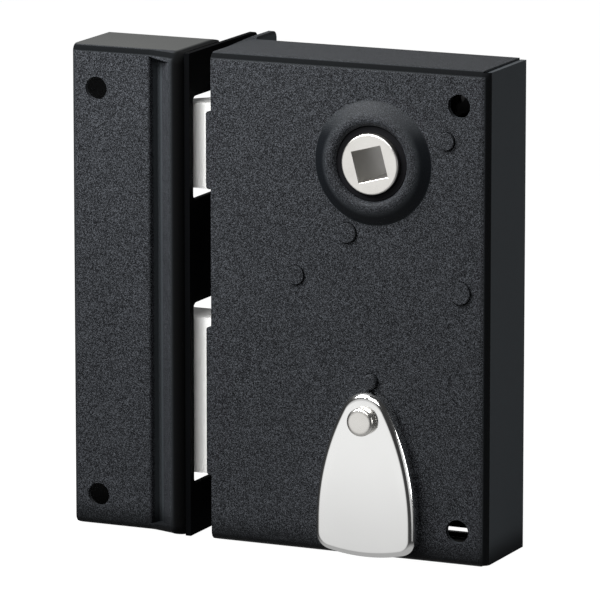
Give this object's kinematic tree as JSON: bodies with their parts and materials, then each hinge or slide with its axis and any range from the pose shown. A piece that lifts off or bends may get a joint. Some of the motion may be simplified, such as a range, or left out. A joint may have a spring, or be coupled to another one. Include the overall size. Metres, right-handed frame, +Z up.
{
  "type": "rim lock",
  "caption": "Vertical rim lock with a sprung latch, a lever dead bolt, a swing cover over the keyhole and a box keeper.",
  "frame": {"origin": "spindle axis on the plane of the door face", "axes": "+X from the forend towards the closed side of the case, +Y into the door, +Z up"},
  "size_m": [0.1163, 0.049, 0.1272],
  "materials": {
    "black_powder_coat": "fine textured powder coat",
    "black_plastic": "moulded, matte",
    "nickel_steel": "satin nickel plate",
    "bright_chrome": "satin polished chrome",
    "zinc_steel": "bright zinc plate",
    "plain_steel": "bare rolled steel",
    "spring_steel": "oiled spring wire",
    "lever_brass": "stamped brass"
  },
  "bodies": {
    "lock_case": {"case_cover": "black_powder_coat", "forend_plate": "black_powder_coat", "back_plate": "black_powder_coat", "latch_guide_post": "black_powder_coat", "left_case_post": "black_powder_coat", "right_case_post": "black_powder_coat", "upper_case_post": "black_powder_coat", "back_plate_screws": "zinc_steel", "forend_screws": "zinc_steel", "lever_post": "plain_steel", "follower_front_bush": "black_plastic", "follower_rear_bush": "black_plastic", "latch_spring": "spring_steel", "latch_spring_pin": "plain_steel", "swing_cover_pin": "nickel_steel", "swing_stop_stud": "black_powder_coat"},
    "follower": {"follower": "nickel_steel"},
    "latch": {"latch_head": "zinc_steel", "latch_tail": "plain_steel", "latch_rivets": "plain_steel"},
    "dead_bolt": {"dead_bolt_head": "zinc_steel", "dead_bolt_tail": "plain_steel", "dead_bolt_rivets": "plain_steel", "bolt_stump": "plain_steel"},
    "levers": {"lever_1": "lever_brass", "lever_2": "lever_brass", "lever_3": "lever_brass", "lever_4": "lever_brass", "lever_springs": "spring_steel"},
    "swing_cover": {"swing_cover": "bright_chrome"},
    "keeper": {"keeper_cover": "black_powder_coat", "keeper_strike_plate": "black_powder_coat"}
  },
  "joints": [
    {"name": "follower_turn", "type": "hinge", "parent": "lock_case", "child": "follower", "pos_m": [0, 0, 0], "axis": [0, 1, 0], "range_deg": [0, 50]},
    {"name": "latch_slide", "type": "slide", "parent": "lock_case", "child": "latch", "axis": [1, 0, 0], "range_m": [0, 0.011], "stiffness_N_per_m": 20, "springref_m": -0.03, "deforming": ["latch_spring"]},
    {"name": "dead_bolt_slide", "type": "slide", "parent": "lock_case", "child": "dead_bolt", "axis": [1, 0, 0], "range_m": [0, 0.014]},
    {"name": "lever_lift", "type": "hinge", "parent": "lock_case", "child": "levers", "pos_m": [0.009, 0, -0.057], "axis": [0, 1, 0], "range_deg": [0, 6], "deforming": ["lever_springs"]},
    {"name": "swing_cover_swing", "type": "hinge", "parent": "lock_case", "child": "swing_cover", "pos_m": [-0.0006, 0, -0.065], "axis": [0, 1, 0], "range_deg": [-75, 75]},
    {"name": "keeper_draw_off", "type": "slide", "parent": "lock_case", "child": "keeper", "axis": [-1, 0, 0], "range_m": [0, 0.03]}
  ],
  "couplings": [
    {"joint": "follower_turn", "follows": "latch_slide", "rad_per_m": 79.3},
    {"joint": "lever_lift", "follows": "dead_bolt_slide", "rad_per_m": 7.479}
  ]
}
